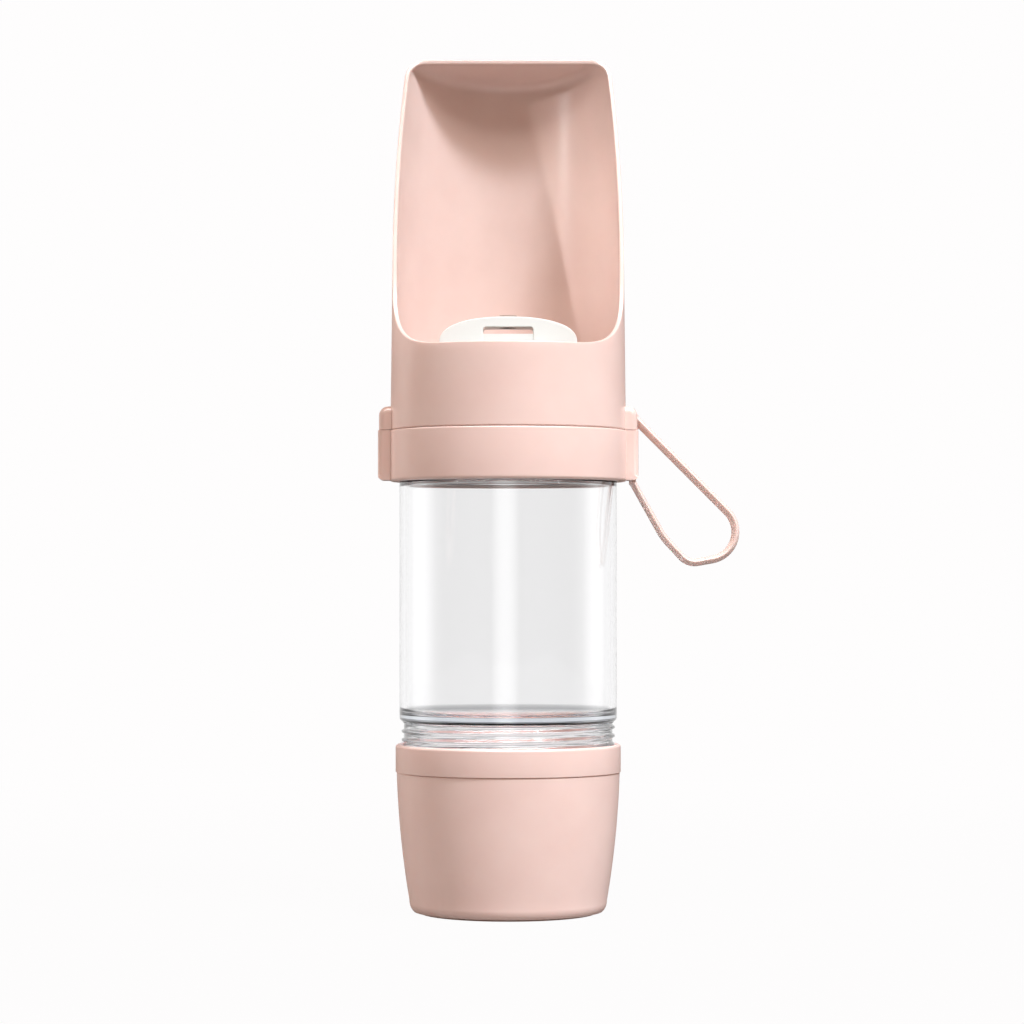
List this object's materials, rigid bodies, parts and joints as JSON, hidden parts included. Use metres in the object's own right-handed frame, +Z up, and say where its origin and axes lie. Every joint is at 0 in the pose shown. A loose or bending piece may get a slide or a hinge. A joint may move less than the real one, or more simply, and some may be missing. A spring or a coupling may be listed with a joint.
{
  "type": "dog travel water bottle",
  "caption": "Clear water bottle with a screw-on scoop head, a turning outlet valve, a carry strap and a screw-on food cup that the whole stack stands on.",
  "frame": {"origin": "centre of the food cup's foot, on the surface the bottle stands on", "axes": "+Z up along the bottle's axis, the scoop's open face looks to -Y, the carry strap hangs on +X"},
  "size_m": [0.1049, 0.069, 0.25],
  "materials": {
    "pink_plastic": "satin",
    "clear_plastic": "clear, polished",
    "white_plastic": "soft gloss",
    "seat_plastic": "satin",
    "pink_elastomer": "satin",
    "clear_silicone": "matte",
    "dark_rubber": "matte",
    "grey_silicone": "matte",
    "steel": "fine machined"
  },
  "bodies": {
    "bottle": {"bottle": "clear_plastic"},
    "neck_seal": {"neck_gasket": "clear_silicone"},
    "head": {"collar": "pink_plastic", "scoop": "pink_plastic", "scoop_seal": "dark_rubber", "collar_screws": "steel", "valve_seat": "seat_plastic", "seat_o_ring": "dark_rubber", "valve_gasket": "clear_silicone", "pivot_screw": "steel", "pivot_washer": "steel", "pivot_spring": "steel"},
    "knob": {"valve_knob": "white_plastic", "knob_plug": "grey_silicone", "rotor_o_ring": "dark_rubber"},
    "strap": {"strap": "pink_elastomer"},
    "stub_seal": {"cup_seal": "clear_silicone"},
    "cup": {"cup_ring": "pink_plastic", "food_cup": "pink_plastic", "ring_gasket": "dark_rubber"}
  },
  "joints": [
    {"name": "head_lift", "type": "slide", "parent": "bottle", "child": "neck_seal", "axis": [0, 0, 1], "range_m": [0, 0.0105]},
    {"name": "head_turn", "type": "hinge", "parent": "neck_seal", "child": "head", "pos_m": [0, 0, 0.13], "axis": [0, 0, 1], "range_deg": [0, 1080]},
    {"name": "valve_turn", "type": "hinge", "parent": "head", "child": "knob", "pos_m": [0, 0, 0.16], "axis": [0, 0, 1], "range_deg": [0, 90]},
    {"name": "strap_swing", "type": "hinge", "parent": "head", "child": "strap", "pos_m": [0.0361, 0, 0.133], "axis": [0, 0, 1], "range_deg": [-30, 30]},
    {"name": "cup_drop", "type": "slide", "parent": "bottle", "child": "stub_seal", "axis": [0, 0, -1], "range_m": [0, 0.0056]},
    {"name": "cup_turn", "type": "hinge", "parent": "stub_seal", "child": "cup", "pos_m": [0, 0, 0.045], "axis": [0, 0, -1], "range_deg": [0, 806]}
  ],
  "couplings": [
    {"joint": "head_lift", "follows": "head_turn", "m_per_rad": 0.00055704},
    {"joint": "cup_drop", "follows": "cup_turn", "m_per_rad": 0.00039789}
  ]
}
